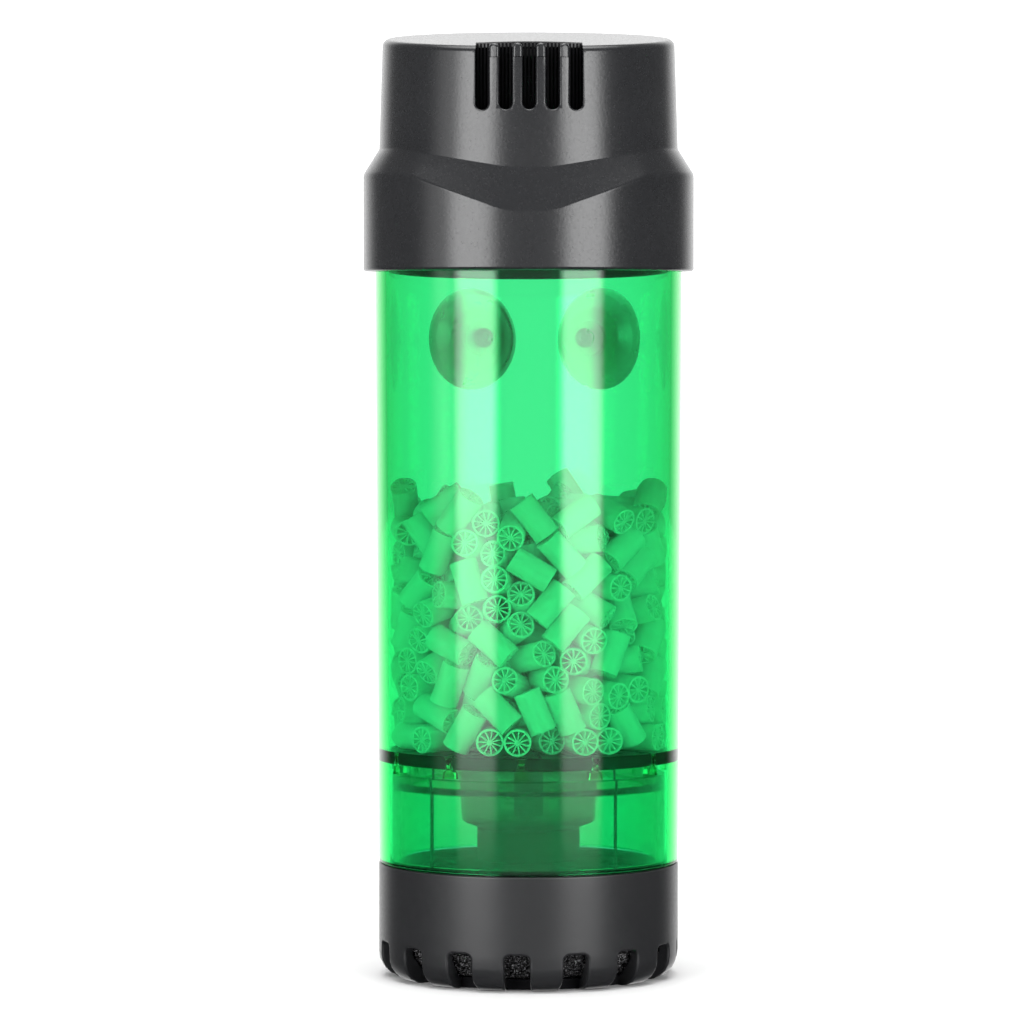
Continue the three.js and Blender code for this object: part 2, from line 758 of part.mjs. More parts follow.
const head = new Group();
filter.add(head);
add(head, 'head_gasket', ring(28.6, 30.2, TUBE_TOP + GAP, TUBE_TOP + 1.3, 36), blackRubber);
add(head, 'head_collar', headCollar(), innerPlastic);
add(head, 'outlet_screen', outletScreen(), innerPlastic);
add(head, 'head_shell', headShell(), blackPlastic);

export default filter;
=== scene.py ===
import math

import bmesh
import bpy
import numpy as np
from mathutils import Matrix, Vector, noise


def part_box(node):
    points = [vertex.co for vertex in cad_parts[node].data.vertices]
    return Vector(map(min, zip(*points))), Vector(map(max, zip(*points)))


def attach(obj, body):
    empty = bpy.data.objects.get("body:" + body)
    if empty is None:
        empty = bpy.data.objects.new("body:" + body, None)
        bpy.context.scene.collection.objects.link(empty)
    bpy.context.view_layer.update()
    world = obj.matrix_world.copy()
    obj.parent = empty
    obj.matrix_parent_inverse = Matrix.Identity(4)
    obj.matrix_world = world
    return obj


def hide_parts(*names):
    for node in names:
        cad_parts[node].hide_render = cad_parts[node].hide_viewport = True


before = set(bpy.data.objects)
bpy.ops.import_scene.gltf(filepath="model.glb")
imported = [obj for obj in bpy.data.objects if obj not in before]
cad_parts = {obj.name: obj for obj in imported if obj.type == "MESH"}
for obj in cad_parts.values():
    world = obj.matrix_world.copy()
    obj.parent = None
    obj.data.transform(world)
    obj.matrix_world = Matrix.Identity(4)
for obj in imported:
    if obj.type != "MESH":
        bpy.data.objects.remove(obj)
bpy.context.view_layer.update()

# Air-driven moving-bed filter. Lengths in this script are millimetres and become metres
# when a mesh is made. The front, with the outlet slots, faces -Y.

MM = 0.001


def span(node):
    """A CAD node's largest radius, lowest and highest point, in millimetres."""
    low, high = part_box(node)
    return max(high.x, -low.x) / MM, low.z / MM, high.z / MM


def middle_z(node):
    low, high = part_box(node)
    return (low.z + high.z) / 2 / MM


HEAD_R = span("head_shell")[0]
BASE_R, BASE_BOTTOM, BASE_TOP = span("base_shell")
TUBE_R, TUBE_BOTTOM, TUBE_TOP = span("tube")
RIM_R, _, DIVIDER_TOP = span("divider_plate")
MEDIA_BOTTOM, BED_TOP = span("media_bed")[1:]
STEM_R, STEM_BOTTOM, STEM_TOP = span("diffuser_stem")
CUP_R, CUP_BOTTOM, CUP_TOP = span("diffuser_cup")
STONE_R, STONE_BOTTOM, STONE_TOP = span("air_stone")
DECK_R, DECK_BOTTOM, DECK_TOP = span("base_deck")
SPONGE_R, SPONGE_BOTTOM, SPONGE_TOP = span("intake_sponge")

TUBE_TURN = -3.0          # the tube sits turned a little from the head, degrees
TUBE_FOOT_R = 29.75       # outer radius just above the base
TUBE_WALL = 2.2
LUG_TOP = 42.3            # lugs inside the tube carry the divider's rim
LUG_HEIGHT = 1.6
LEG_ANGLES = (-42.7, 42.7, 165)
NECK_TOP = 42.3           # the sleeve's thicker neck, inside the lugs
NECK_BOTTOM = 38.2
NECK_R = 25.7
NECK_WALL = 2.2
SLEEVE_TOP = 40.3
SLEEVE_WALL = 1.6
PIPE_BORE_R = 2.9         # hole for the air pipe in the deck and the hub
CUP_AZIMUTH = 22.5        # the suction cups' places, either side of the back, degrees
TAPER_TOP = 138.5         # the tube's taper ends here, under the head
SKIRT_BOTTOM = 139.4      # height of the skirt's lower edge at the sides
SKIRT_SLOPE = math.tan(math.radians(2.0))
HEAD_SLOPE = math.tan(math.radians(9.0))
HEAD_AXIS_TOP = 185.5
DOME_R = 29.6             # upper body of the head, just above the shoulder
DOME_TOP_R = 28.9
OUTLETS = 5
OUTLET_WIDTH = 2.5
OUTLET_LIP = 0.6
OUTLET_PITCH = 4.5
OUTLET_BOTTOM = 169.0
BASE_CORNER = 4.7
BASE_SLOT_END_R = BASE_R - BASE_CORNER - 1.2
BASE_SLOTS = 16
BASE_SLOT_WIDTH = 5.0
BASE_SLOT_LIP = 0.5
BASE_SLOT_TOP = 7.3
BASE_SLOT_TURN = -4.6
SCREEN_R = 25.0
FINGER_RISE = 0.75        # the bars between the outlets stand above the rim
WHEEL_R = 2.6
WHEEL_LENGTH = 8.2
MEDIA_COUNT = 395
SETTLE_SCALE = 0.1        # metres for each millimetre while the wheels settle
SEED = 11


# ---------------------------------------------------------------- meshes


def new_object(name, verts, faces, material, sharp=38.0):
    """A mesh object from millimetre points, with outward normals and smooth shading."""
    mesh = bpy.data.meshes.new(name)
    mesh.from_pydata((np.asarray(verts, float) * MM).tolist(), [], faces)
    work = bmesh.new()
    work.from_mesh(mesh)
    bmesh.ops.remove_doubles(work, verts=work.verts, dist=1e-7)
    bmesh.ops.recalc_face_normals(work, faces=work.faces)
    work.to_mesh(mesh)
    work.free()
    obj = bpy.data.objects.new(name, mesh)
    bpy.context.scene.collection.objects.link(obj)
    if material:
        mesh.materials.append(material)
    shade(obj, sharp)
    return obj


def shade(obj, sharp=38.0):
    obj.data.shade_smooth()
    obj.data.set_sharp_from_angle(angle=math.radians(sharp))


def softened(corners, steps=5):
    """An outline through [radius, height, rounding] corners, each rounded by a true arc."""
    points = []
    count = len(corners)
    for i, (x, y, rounding) in enumerate(corners):
        here = np.array([x, y], float)
        before = np.array(corners[i - 1][:2], float) - here
        after = np.array(corners[(i + 1) % count][:2], float) - here
        if rounding <= 0:
            points.append(here)
            continue
        reach = min(np.linalg.norm(before), np.linalg.norm(after)) * 0.49
        before /= np.linalg.norm(before)
        after /= np.linalg.norm(after)
        half = math.acos(max(-1.0, min(1.0, float(before @ after)))) / 2
        setback = min(rounding / math.tan(half), reach)
        start, end, weight = here + before * setback, here + after * setback, math.sin(half)
        for t in np.linspace(0, 1, steps + 1):
            a, b, c = (1 - t) ** 2, 2 * t * (1 - t) * weight, t * t
            points.append((a * start + b * here + c * end) / (a + b + c))
    return np.array(points)


def densified(outlines, longest):
    """Adds points along the long stretches of matching outlines, the same number on each."""
    first = outlines[0]
    result = [[] for _ in outlines]
    for i in range(len(first) - 1):
        pieces = max(1, math.ceil(np.linalg.norm(first[i + 1] - first[i]) / longest))
        for share in np.arange(pieces) / pieces:
            for row, outline in zip(result, outlines):
                row.append(outline[i] * (1 - share) + outline[i + 1] * share)
    for row, outline in zip(result, outlines):
        row.append(outline[-1])
    return [np.array(row) for row in result]


def revolved(name, corners, material, segments=160, longest=None, sharp=38.0):
    """A solid of revolution. corners is a list of [radius, height, rounding], or a function
    that gives one at an angle from the front, for a shape that changes on its way round."""
    at = corners if callable(corners) else lambda angle: corners
    angles = np.arange(segments) * 360.0 / segments
    outlines = [softened(at(angle - 360 if angle > 180 else angle)) for angle in angles]
    closed = outlines[0][0][0] > 1e-6 or outlines[0][-1][0] > 1e-6
    if closed:
        outlines = [np.vstack([outline, outline[:1]]) for outline in outlines]
    if longest:
        outlines = densified(outlines, longest)
    rows = len(outlines[0])
    verts = []
    for angle, outline in zip(np.radians(angles), outlines):
        verts.extend((r * math.sin(angle), -r * math.cos(angle), z) for r, z in outline)
    faces = []
    for i in range(segments):
        left, right = i * rows, (i + 1) % segments * rows
        faces.extend((left + j, right + j, right + j + 1, left + j + 1) for j in range(rows - 1))
    return new_object(name, verts, faces, material, sharp)


def lofted(name, rings):
    """A solid through matching rings of points, closed at both ends."""
    count = len(rings[0])
    verts = [point for ring in rings for point in ring]
    faces = [tuple(range(count)), tuple(range(len(verts) - count, len(verts)))]
    for k in range(len(rings) - 1):
        low, high = k * count, (k + 1) * count
        for i in range(count):
            j = (i + 1) % count
            faces.append((low + i, low + j, high + j, high + i))
    return new_object(name, verts, faces, None)


def block(size, centre, rounding=0.0):
    """A plain box, or one with rounded edges, to be joined to or cut from another piece."""
    work = bmesh.new()
    bmesh.ops.create_cube(work, size=1)
    bmesh.ops.scale(work, vec=size, verts=work.verts)
    if rounding:
        bmesh.ops.bevel(work, geom=work.edges[:], offset=rounding, segments=4, profile=0.5,
                        affect="EDGES")
    bmesh.ops.translate(work, vec=centre, verts=work.verts)
    work.verts.ensure_lookup_table()
    verts = [v.co[:] for v in work.verts]
    faces = [tuple(v.index for v in f.verts) for f in work.faces]
    work.free()
    return new_object("block", verts, faces, None)


def turned(obj, angle):
    """Turns a piece round the tube's axis, in degrees."""
    obj.data.transform(Matrix.Rotation(math.radians(angle), 4, "Z"))
    return obj


def ringed(obj, angles):
    """Copies of a piece, one at each angle round the axis, in its place."""
    twins = []
    for angle in angles:
        twin = obj.copy()
        twin.data = obj.data.copy()
        bpy.context.scene.collection.objects.link(twin)
        twins.append(turned(twin, angle))
    bpy.data.objects.remove(obj)
    return twins


def lying_along_y(obj, z):
    """Lays a piece that was turned about Z along Y at a height; its heights become distances."""
    move = Matrix.Translation((0, 0, z * MM)) @ Matrix.Rotation(math.radians(-90), 4, "X")
    obj.data.transform(move)
    return obj


def joined(objects):
    """Several meshes as the separate shells of the first one."""
    work = bmesh.new()
    for obj in objects:
        work.from_mesh(obj.data)
    work.to_mesh(objects[0].data)
    work.free()
    for obj in objects[1:]:
        bpy.data.objects.remove(obj)
    return objects[0]


def combined(obj, tools, operation, sharp=38.0):
    """Cuts the tools from a piece, or joins them to it, and uses them up."""
    tool = joined(tools)
    modifier = obj.modifiers.new("combine", "BOOLEAN")
    modifier.object, modifier.operation, modifier.solver = tool, operation, "EXACT"
    modifier.use_self = operation == "UNION"
    settled = obj.evaluated_get(bpy.context.evaluated_depsgraph_get())
    mesh = bpy.data.meshes.new_from_object(settled)
    obj.modifiers.clear()
    obj.data = mesh
    bpy.data.objects.remove(tool)
    shade(obj, sharp)


def flattened(obj):
    """Lets large faces keep their own shading beside rounded edges and slivers."""
    weighted = obj.modifiers.new("weighted", "WEIGHTED_NORMAL")
    weighted.keep_sharp = True
    weighted.weight = 60


def finished(obj, body, slot, *nodes, flat=True):
    """Puts a piece on its body and hides the CAD nodes that it stands for; slot is not used."""
    if flat:
        flattened(obj)
    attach(obj, body)
    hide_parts(*nodes)


# ---------------------------------------------------------------- materials


class Look:
    """A material under construction: a Principled shader with short ways to add nodes."""

    def __init__(self, name, colour, roughness, **constants):
        self.material = bpy.data.materials.new(name)
        self.material.use_nodes = True
        self.tree = self.material.node_tree
        self.shader = self.tree.nodes["Principled BSDF"]
        self.output = self.tree.nodes["Material Output"]
        self.shader.inputs["Base Color"].default_value = (*colour, 1)
        self.shader.inputs["Roughness"].default_value = roughness
        for socket, value in constants.items():
            self.shader.inputs[socket.replace("_", " ")].default_value = value
        self.place = self.tree.nodes.new("ShaderNodeTexCoord").outputs["Object"]

    def link(self, start, end):
        self.tree.links.new(start, end)

    def noise(self, size, detail=2.0, stretch=None):
        """Noise with features about size millimetres across."""
        node = self.tree.nodes.new("ShaderNodeTexNoise")
        node.inputs["Scale"].default_value = 1 / (size * MM)
        node.inputs["Detail"].default_value = detail
        place = self.place
        if stretch:
            mapping = self.tree.nodes.new("ShaderNodeMapping")
            mapping.inputs["Scale"].default_value = stretch
            self.link(place, mapping.inputs["Vector"])
            place = mapping.outputs["Vector"]
        self.link(place, node.inputs["Vector"])
        return node.outputs["Fac"]

    def cells(self, size, feature="F1"):
        node = self.tree.nodes.new("ShaderNodeTexVoronoi")
        node.feature = feature
        node.inputs["Scale"].default_value = 1 / (size * MM)
        self.link(self.place, node.inputs["Vector"])
        return node.outputs["Distance"]

    def ranged(self, factor, low, high):
        """Spreads a factor over a range of values."""
        node = self.tree.nodes.new("ShaderNodeMapRange")
        node.inputs["From Min"].default_value = 0.3
        node.inputs["From Max"].default_value = 0.7
        node.inputs["To Min"].default_value = low
        node.inputs["To Max"].default_value = high
        self.link(factor, node.inputs["Value"])
        return node.outputs["Result"]

    def colour(self, factor, first, second):
        node = self.tree.nodes.new("ShaderNodeMix")
        node.data_type = "RGBA"
        node.inputs["A"].default_value = (*first, 1)
        node.inputs["B"].default_value = (*second, 1)
        self.link(factor, node.inputs["Factor"])
        self.link(node.outputs["Result"], self.shader.inputs["Base Color"])

    def rough(self, factor, low, high):
        self.link(self.ranged(factor, low, high), self.shader.inputs["Roughness"])

    def bump(self, height, depth, strength=1.0):
        """Raises the surface by up to depth millimetres."""
        node = self.tree.nodes.new("ShaderNodeBump")
        node.inputs["Distance"].default_value = depth * MM
        node.inputs["Strength"].default_value = strength
        self.link(height, node.inputs["Height"])
        normal = self.shader.inputs["Normal"]
        if normal.is_linked:
            self.link(normal.links[0].from_socket, node.inputs["Normal"])
        self.link(node.outputs["Normal"], normal)


def spark_plastic():
    """Black ABS with the fine grain of a spark-eroded mould."""
    look = Look("black_plastic", (0.015, 0.0155, 0.017), 0.24, Specular_IOR_Level=0.6)
    look.colour(look.noise(9, 3), (0.012, 0.0125, 0.014), (0.017, 0.0175, 0.019))
    look.rough(look.noise(0.5, 2), 0.20, 0.28)
    look.bump(look.noise(0.55, 2), 0.028, 0.5)
    look.bump(look.noise(14, 2), 0.05, 0.2)
    return look.material


def base_plastic():
    """The base's duller black plastic, with faint lines round it."""
    look = Look("base_plastic", (0.016, 0.0165, 0.018), 0.34, Specular_IOR_Level=0.6)
    look.colour(look.noise(8, 3), (0.014, 0.0145, 0.016), (0.019, 0.0195, 0.021))
    look.rough(look.noise(0.6, 2), 0.30, 0.38)
    look.bump(look.noise(0.35, 3), 0.015, 0.4)
    look.bump(look.noise(2.2, 3, stretch=(0.12, 0.12, 6)), 0.012, 0.35)
    return look.material


def inner_plastic():
    """Smooth black plastic of the parts inside."""
    look = Look("inner_plastic", (0.012, 0.012, 0.013), 0.42)
    look.colour(look.noise(6, 2), (0.010, 0.010, 0.011), (0.018, 0.018, 0.019))
    look.rough(look.noise(2.5, 3), 0.36, 0.5)
    look.bump(look.noise(1.2, 2), 0.02, 0.3)
    return look.material


def painted_shade_plastic():
    """Matt black plastic, darker and less glossy than the others: painted shade for the parts that stay in
    the dark.
    """
    look = Look("painted_shade_plastic", (0.006, 0.006, 0.007), 0.8, Specular_IOR_Level=0.08)
    look.colour(look.noise(3, 2), (0.005, 0.005, 0.006), (0.009, 0.009, 0.010))
    look.rough(look.noise(1.5, 2), 0.75, 0.9)
    return look.material


def absorbing(look, per_mm):
    """Colours clear plastic by depth: per_mm is what each millimetre takes off, per channel."""
    density = max(per_mm) * 1000 * 1.02
    volume = look.tree.nodes.new("ShaderNodeVolumeAbsorption")
    volume.inputs["Color"].default_value = (*[1 - p * 1000 / density for p in per_mm], 1)
    volume.inputs["Density"].default_value = density
    look.link(volume.outputs["Volume"], look.output.inputs["Volume"])


def green_plastic():
    """Polished clear green acrylic, a touch wavy from the mould."""
    look = Look("green_tube", (1, 1, 1), 0.025, Transmission_Weight=1.0, IOR=1.49)
    look.bump(look.noise(16, 1, stretch=(1, 1, 0.4)), 0.06, 0.25)
    absorbing(look, (0.68, 0.014, 0.28))
    return look.material


def smoke_plastic(name, per_mm):
    """Clear smoke-green plastic of the diffuser cup and the chamber's sleeve."""
    look = Look(name, (1, 1, 1), 0.04, Transmission_Weight=1.0, IOR=1.5)
    look.rough(look.noise(5, 2), 0.03, 0.08)
    absorbing(look, per_mm)
    return look.material


def media_plastic():
    """Off-white polyethylene that lets some light through its thin walls."""
    look = Look("media_plastic", (0.97, 0.985, 0.97), 0.45)
    look.colour(look.noise(7, 2), (0.955, 0.975, 0.955), (0.98, 0.99, 0.98))
    look.bump(look.noise(0.8, 2), 0.02, 0.4)
    glow = look.tree.nodes.new("ShaderNodeBsdfTranslucent")
    glow.inputs["Color"].default_value = (0.97, 0.99, 0.97, 1)
    mix = look.tree.nodes.new("ShaderNodeMixShader")
    mix.inputs[0].default_value = 0.4
    look.link(look.shader.outputs["BSDF"], mix.inputs[1])
    look.link(glow.outputs["BSDF"], mix.inputs[2])
    look.link(mix.outputs["Shader"], look.output.inputs["Surface"])
    return look.material


def foam():
    """Black reticulated foam: shiny struts, dark pores. The pale grey specks in its colour are painted
    glints.
    """
    look = Look("black_sponge", (0.012, 0.012, 0.013), 0.4)
    # pale grey specks in the base colour: painted glints on the struts
    painted_glints = look.ranged(look.noise(0.3, 0), -2.4, 1.0)
    look.colour(painted_glints, (0.004, 0.004, 0.004), (0.2, 0.2, 0.21))
    look.rough(look.noise(0.4, 2), 0.15, 0.6)
    look.bump(look.cells(0.35), 0.25, 0.9)
    return look.material


def rubber():
    look = Look("black_rubber", (0.014, 0.014, 0.015), 0.5)
    look.colour(look.noise(4, 3), (0.012, 0.012, 0.013), (0.022, 0.022, 0.023))
    look.rough(look.noise(1.5, 3), 0.42, 0.62)
    look.bump(look.noise(0.9, 3), 0.02, 0.4)
    return look.material


def clear_rubber():
    """Soft clear PVC of the suction cups, slightly cloudy."""
    look = Look("clear_rubber", (0.9, 0.92, 0.9), 0.3, Transmission_Weight=0.92, IOR=1.5)
    look.rough(look.noise(3, 2), 0.25, 0.38)
    look.bump(look.noise(1.1, 2), 0.02, 0.3)
    absorbing(look, (0.85, 0.72, 0.78))
    return look.material


def porous_stone():
    look = Look("porous_stone", (0.12, 0.125, 0.12), 0.9)
    look.colour(look.cells(0.5), (0.05, 0.052, 0.05), (0.2, 0.205, 0.195))
    look.bump(look.cells(0.3), 0.12, 0.9)
    return look.material


BLACK = spark_plastic()
DULL_BLACK = base_plastic()
INNER = inner_plastic()
PAINTED_SHADE = painted_shade_plastic()
GREEN = green_plastic()
SMOKE = smoke_plastic("smoke_plastic", (1.3, 0.20, 0.32))
DARK_SMOKE = smoke_plastic("dark_smoke_plastic", (1.3, 0.75, 0.9))
MEDIA = media_plastic()
FOAM = foam()
RUBBER = rubber()
CLEAR_RUBBER = clear_rubber()
STONE = porous_stone()


# ---------------------------------------------------------------- head


def eased(pairs, x):
    """A value read along [x, value] pairs with a little rounding at each kink."""
    at, values = zip(*pairs)
    reach = np.linspace(-3.5, 3.5, 9)
    return float(np.mean(np.interp(np.abs(x + reach), at, values)))


def shoulder_bottom(angle):
    return eased([(0, 149.4), (7.5, 149.4), (45, 156.9), (90, 158.6)], angle)


def shoulder_top(angle):
    return eased([(0, 157.9), (7.5, 157.9), (60, 162.7), (90, 163.6)], angle)


def head_outline(angle):
    """The shell's section at an angle from the front: under the roof, down inside, up outside."""
    slant = -math.cos(math.radians(angle)) * HEAD_SLOPE
    edge = SKIRT_BOTTOM - math.cos(math.radians(angle)) * SKIRT_SLOPE * HEAD_R
    roof = HEAD_AXIS_TOP - 2.2
    bore_r = DOME_TOP_R - 2.0
    skirt_bore_r = TUBE_R + 0.45
    ledge = TUBE_TOP + 3.3
    side = min(1.0, abs(angle) / 60)
    return [
        [0, roof, 0],
        [bore_r, roof + bore_r * slant, 1.0],
        [bore_r, ledge, 0.3],
        [skirt_bore_r, ledge, 0.3],
        [skirt_bore_r, edge, 0.4],
        [HEAD_R, edge, 0.6],
        [HEAD_R, shoulder_bottom(angle), 0.5 + 1.6 * side],
        [DOME_R, shoulder_top(angle), 0.5],
        [DOME_TOP_R, HEAD_AXIS_TOP + DOME_TOP_R * slant, 1.5],
        [0, HEAD_AXIS_TOP, 0],
    ]


def rounded_slot(half, bottom, top, growth, steps=10):
    """A slot's outline in (x, z), grown outwards, with a round lower end."""
    centre = bottom + half
    angles = np.linspace(math.pi, 2 * math.pi, steps + 1)
    reach = half + growth
    lower = [(reach * math.cos(a), centre + reach * math.sin(a)) for a in angles]
    return [(-reach, top)] + lower + [(reach, top)]


def lip(depth):
    """Depth below the surface and outward growth of a cutter with a rounded mouth."""
    turns = np.radians(np.linspace(0, 90, 6))
    arc = [(depth * (1 - math.cos(a)), depth * (1 - math.sin(a))) for a in turns]
    return [(-2.0, depth + 0.6)] + arc


def dome_radius(z):
    share = (z - shoulder_top(0)) / (HEAD_AXIS_TOP - shoulder_top(0))
    return DOME_R + (DOME_TOP_R - DOME_R) * share


def outlet_cutter(x_centre, top):
    rings = []
    for depth, growth in lip(OUTLET_LIP) + [(5.6, 0.0)]:
        ring = []
        for x, z in rounded_slot(OUTLET_WIDTH / 2, OUTLET_BOTTOM, top, growth):
            r = dome_radius(z)
            ring.append((x_centre + x, -math.sqrt(r * r - (x_centre + x) ** 2) + depth, z))
        rings.append(ring)
    return lofted("cutter", rings)


def outlet_window(half, bottom, top):
    """Opens the roof from the outlets back to just behind the screen."""
    behind = SCREEN_R - 1.4
    reach = math.asin(half / behind)
    arc = [(behind * math.sin(a), -behind * math.cos(a)) for a in np.linspace(-reach, reach, 25)]
    outline = [(-half, -32.0)] + arc + [(half, -32.0)]
    return lofted("cutter", [[(x, y, z) for x, y in outline] for z in (bottom, top)])


def finger(x_centre, bottom, top):
    """Free end of a bar between two outlets: round on top, with the outlets' soft lip."""
    half = (OUTLET_PITCH - OUTLET_WIDTH) / 2
    proud = 0.015
    angles = np.linspace(0, math.pi, 13)
    rings = []
    for depth, growth in lip(OUTLET_LIP)[1:] + [(2.0, 0.0)]:
        reach = half - growth
        round_end = [(reach * math.cos(a), top - half + reach * math.sin(a)) for a in angles]
        outline = [(reach, bottom)] + round_end + [(-reach, bottom)]
        ring = []
        for x, z in outline:
            r = dome_radius(z) + proud
            ring.append((x_centre + x, -math.sqrt(r * r - (x_centre + x) ** 2) + depth, z))
        rings.append(ring)
    return lofted("finger", rings)


def make_head():
    shell = revolved("head_cap", head_outline, BLACK, segments=288, longest=3.0)
    rim_z = HEAD_AXIS_TOP - DOME_TOP_R * HEAD_SLOPE
    offsets = (np.arange(OUTLETS) - (OUTLETS - 1) / 2) * OUTLET_PITCH
    grille_half = offsets[-1] + OUTLET_WIDTH / 2
    combined(shell, [outlet_cutter(x, rim_z + 6) for x in offsets], "DIFFERENCE")
    combined(shell, [outlet_window(grille_half, rim_z - 2.0, rim_z + 6)], "DIFFERENCE")
    fingers = []
    for left, right in zip(offsets[:-1], offsets[1:]):
        fingers.append(finger((left + right) / 2, rim_z - 1.9, rim_z + FINGER_RISE))
    combined(shell, fingers, "UNION", sharp=32)
    finished(shell, "head", "black_plastic", "head_shell")


def make_outlet_comb():
    """Ribbed screen behind the outlets; its top edge stands just above the head's rim."""
    bottom = span("outlet_screen")[1]
    top = HEAD_AXIS_TOP - SCREEN_R * HEAD_SLOPE + FINGER_RISE
    back_r, front_r = SCREEN_R - 1.1, SCREEN_R - 0.1
    pieces = []
    reach = 24.3
    ring_angles = np.radians(np.linspace(-reach, reach, 31))
    for rail_bottom, rail_top in ((bottom, bottom + 1.2), (top - 1.0, top)):
        rings = []
        for a in ring_angles:
            section = [(back_r, rail_bottom), (front_r, rail_bottom),
                       (front_r, rail_top), (back_r, rail_top)]
            rings.append([(r * math.sin(a), -r * math.cos(a), z) for r, z in section])
        pieces.append(lofted("rail", rings))
    ribs = 29
    for angle in np.linspace(-reach + 0.9, reach - 0.9, ribs):
        rib = block((0.42, 1.1, top - bottom - 0.3), (0, 0.55 - SCREEN_R, (top + bottom) / 2), 0.12)
        pieces.append(turned(rib, angle))
    comb = joined(pieces)
    comb.name = "outlet_comb"
    # The top 1.1 mm keeps the inner plastic; everything below takes the darker plastic as painted shade
    # inside the outlets.
    comb.data.materials.append(PAINTED_SHADE)
    comb.data.materials.append(INNER)
    for polygon in comb.data.polygons:
        polygon.material_index = int(polygon.center.z > (top - 1.1) * MM)
    finished(comb, "head", "inner_plastic", "outlet_screen")


def make_head_liner():
    flange_r, low, high = span("head_collar")
    inner_r, plug_r = 26.4, 27.95
    flange = high - 1.4
    liner = revolved("head_liner", [
        [inner_r, low, 0.5], [plug_r, low, 0.5], [plug_r, flange, 0.2], [flange_r, flange, 0.3],
        [flange_r, high, 0.3], [inner_r, high, 0.3]], INNER)
    notch = block((1.6, 4, 1.6), (0, -plug_r + 0.5, low))
    combined(liner, [turned(notch, 33)], "DIFFERENCE")
    finished(liner, "head", "inner_plastic", "head_collar")


# ---------------------------------------------------------------- base


def base_radius(z):
    """The base's outer radius at a height, round its bottom corner."""
    if z >= BASE_CORNER:
        return BASE_R
    drop = BASE_CORNER - max(z, 0.15)
    return BASE_R - BASE_CORNER + math.sqrt(BASE_CORNER ** 2 - drop ** 2)


def base_slot_cutter():
    half, corner = BASE_SLOT_WIDTH / 2, 1.1
    rings = []
    for depth, growth in lip(BASE_SLOT_LIP) + [(None, 0.0)]:
        reach, top, turn = half + growth, BASE_SLOT_TOP + growth, corner + growth
        outline = softened([[-reach, -2, 0], [-reach, top, turn], [reach, top, turn], [reach, -2, 0]], 4)
        outline = densified([outline], 1.2)[0]
        ring = []
        for x, z in outline:
            r = BASE_SLOT_END_R if depth is None else base_radius(z) - depth
            ring.append((x, -math.sqrt(r * r - x * x), z))
        rings.append(ring)
    return lofted("cutter", rings)


def paint_shade_on_slot_ends(shell):
    """The slots' inner ends, under the sponge, take the darker matt plastic: painted shade in the recesses.
    """
    shell.data.materials.append(PAINTED_SHADE)
    for polygon in shell.data.polygons:
        x, y, z = polygon.center / MM
        if abs(math.hypot(x, y) - BASE_SLOT_END_R) < 0.5 and 0.05 < z < BASE_SLOT_TOP:
            polygon.material_index = 1


def make_base():
    inner_r = BASE_R - 2.0
    ledge = DECK_BOTTOM - 0.3
    lap_r = span("base_gasket")[0] + 0.2
    shell = revolved("base_housing", [
        [0, BASE_BOTTOM + 2, 0], [inner_r - 2.9, BASE_BOTTOM + 2, 1.0], [inner_r, BASE_CORNER + 0.9, 1.0],
        [inner_r, ledge - 2.4, 0.3], [inner_r - 2, ledge - 1.4, 0.2], [inner_r - 2, ledge, 0.2],
        [inner_r, ledge, 0], [inner_r, ledge + 0.4, 0.1], [lap_r, ledge + 0.4, 0.2],
        [lap_r, BASE_TOP, 0.2], [BASE_R, BASE_TOP, 0.35], [BASE_R, BASE_BOTTOM, BASE_CORNER],
        [0, BASE_BOTTOM, 0]], DULL_BLACK, segments=288, longest=2.5)
    slot_angles = [BASE_SLOT_TURN + 360 * i / BASE_SLOTS for i in range(BASE_SLOTS)]
    combined(shell, ringed(base_slot_cutter(), slot_angles), "DIFFERENCE")
    hole = revolved("cutter", [[0, 20, 0], [3.6, 20, 0], [3.6, 34, 0], [0, 34, 0]], None, 48)
    combined(shell, [lying_along_y(hole, middle_z("air_barb"))], "DIFFERENCE", sharp=32)
    paint_shade_on_slot_ends(shell)
    finished(shell, "base", "black_plastic", "base_shell")


def make_sponge():
    """Coarse foam disc; its edge, seen through the slots, is open cells between struts."""
    cell = 1.15
    segments = 900
    rows = [(SPONGE_BOTTOM + 0.1, 24.4)]
    rows += [(z, min(SPONGE_R, 24.6 + 0.78 * (z - SPONGE_BOTTOM)))
             for z in np.linspace(SPONGE_BOTTOM + 0.1, SPONGE_TOP, 36)]
    rows += [(SPONGE_TOP, r) for r in np.linspace(SPONGE_R - 1, 1, 8)]
    verts = []
    for z, r in rows:
        for i in range(segments):
            a = 2 * math.pi * i / segments
            point = Vector((r * math.sin(a), -r * math.cos(a), z))
            near, far = noise.voronoi(point / cell)[0][:2]
            pit = min(1.0, (far - near) / 0.5) ** 0.7
            shrink = 1 - pit / r if r > 20 else 1
            drop = 0.4 * pit if z >= SPONGE_TOP else 0
            verts.append((point.x * shrink, point.y * shrink, z - drop))
    last = (len(rows) - 1) * segments
    faces = []
    for low in range(0, last, segments):
        high = low + segments
        for i in range(segments):
            j = (i + 1) % segments
            faces.append((low + i, low + j, high + j, high + i))
    faces.append(tuple(range(segments)))
    faces.append(tuple(range(last, last + segments)))
    sponge = new_object("foam_disc", verts, faces, FOAM, sharp=70)
    finished(sponge, "base", "black_sponge", "intake_sponge", flat=False)


